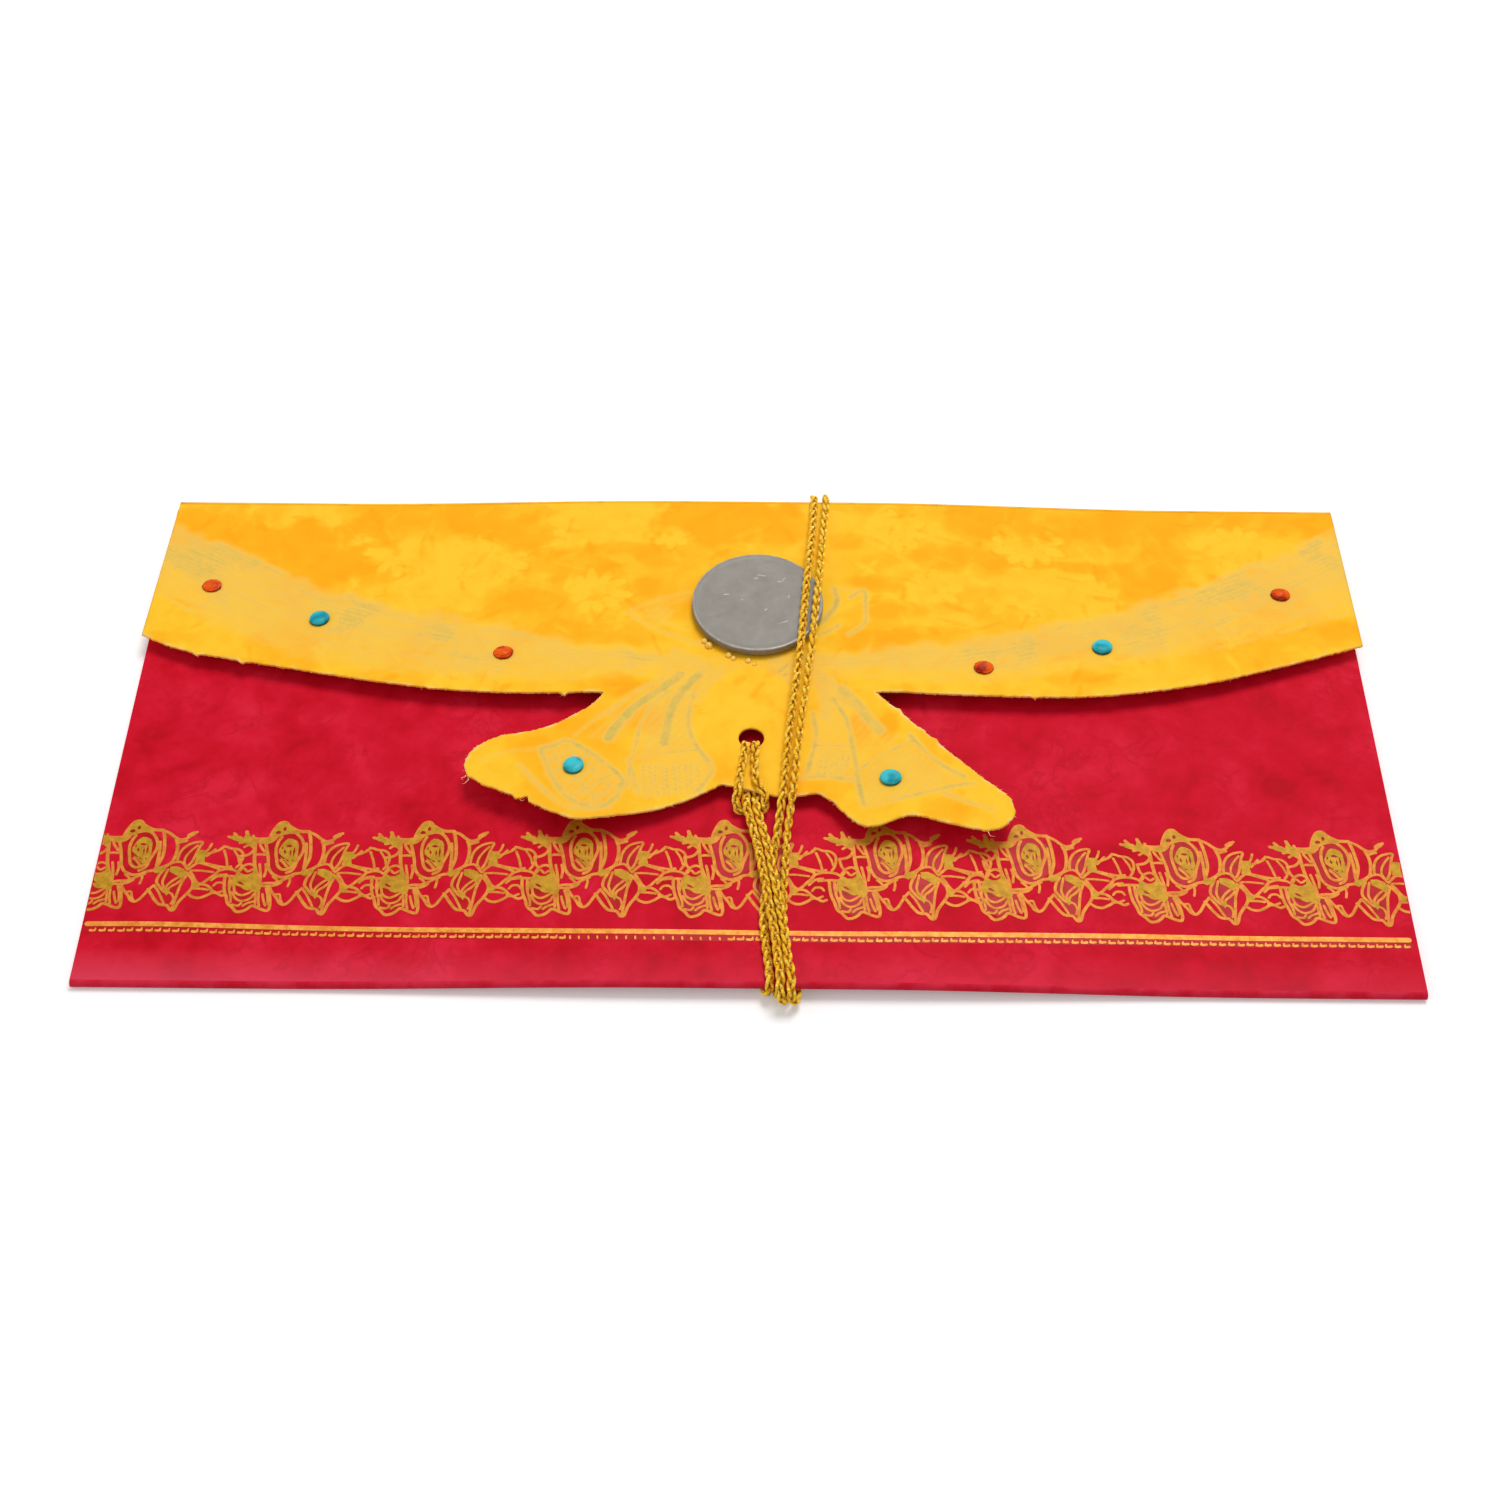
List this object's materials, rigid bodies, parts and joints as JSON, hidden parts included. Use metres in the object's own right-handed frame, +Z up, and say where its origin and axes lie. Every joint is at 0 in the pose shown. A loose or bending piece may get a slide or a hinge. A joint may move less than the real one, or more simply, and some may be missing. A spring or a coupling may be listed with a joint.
{
  "type": "gift envelope",
  "caption": "Flat folded paper envelope with a butterfly-shaped hinged flap, a coin and glass stones glued on the flap, and a gold elastic cord wound round it.",
  "frame": {"origin": "middle of the bounding box at its base, on the table under the envelope", "axes": "+X along the envelope's long side to the right of the picture, +Y towards the fold of the flap, +Z up out of the front"},
  "size_m": [0.203, 0.1024, 0.0077],
  "materials": {
    "red_paper": "crimson handmade paper, softly mottled, slight sheen",
    "yellow_paper": "golden yellow handmade paper with an orange cloud pattern, matt",
    "glue": "dried clear glue",
    "coin_metal": "worn dull steel",
    "gold_foil": "hot-stamped gold foil",
    "red_glass": "faceted, foil-backed",
    "turquoise_glass": "domed, opaque, glossy",
    "gold_cord": "gold metallic braid over elastic"
  },
  "bodies": {
    "pocket": {"back_panel": "red_paper", "bottom_fold": "red_paper", "front_panel": "red_paper", "side_tab_left": "red_paper", "side_tab_right": "red_paper", "seam_glue_left": "glue", "seam_glue_right": "glue", "foil_line": "gold_foil", "hem_glue": "glue", "flap_hem": "yellow_paper", "flap_fold": "yellow_paper"},
    "flap": {"flap": "yellow_paper", "coin_glue_pad": "glue", "coin": "coin_metal", "red_stone_1": "red_glass", "red_stone_2": "red_glass", "red_stone_3": "red_glass", "red_stone_4": "red_glass", "turquoise_stone_1": "turquoise_glass", "turquoise_stone_2": "turquoise_glass", "turquoise_stone_3": "turquoise_glass", "turquoise_stone_4": "turquoise_glass", "cord": "gold_cord", "cord_knot": "gold_cord"}
  },
  "joints": [
    {"name": "flap_hinge", "type": "hinge", "parent": "pocket", "child": "flap", "pos_m": [0, 0.04877, 0.002], "axis": [-1, 0, 0], "range_deg": [0, 165], "deforming": ["flap_fold", "cord", "cord_knot"]}
  ]
}
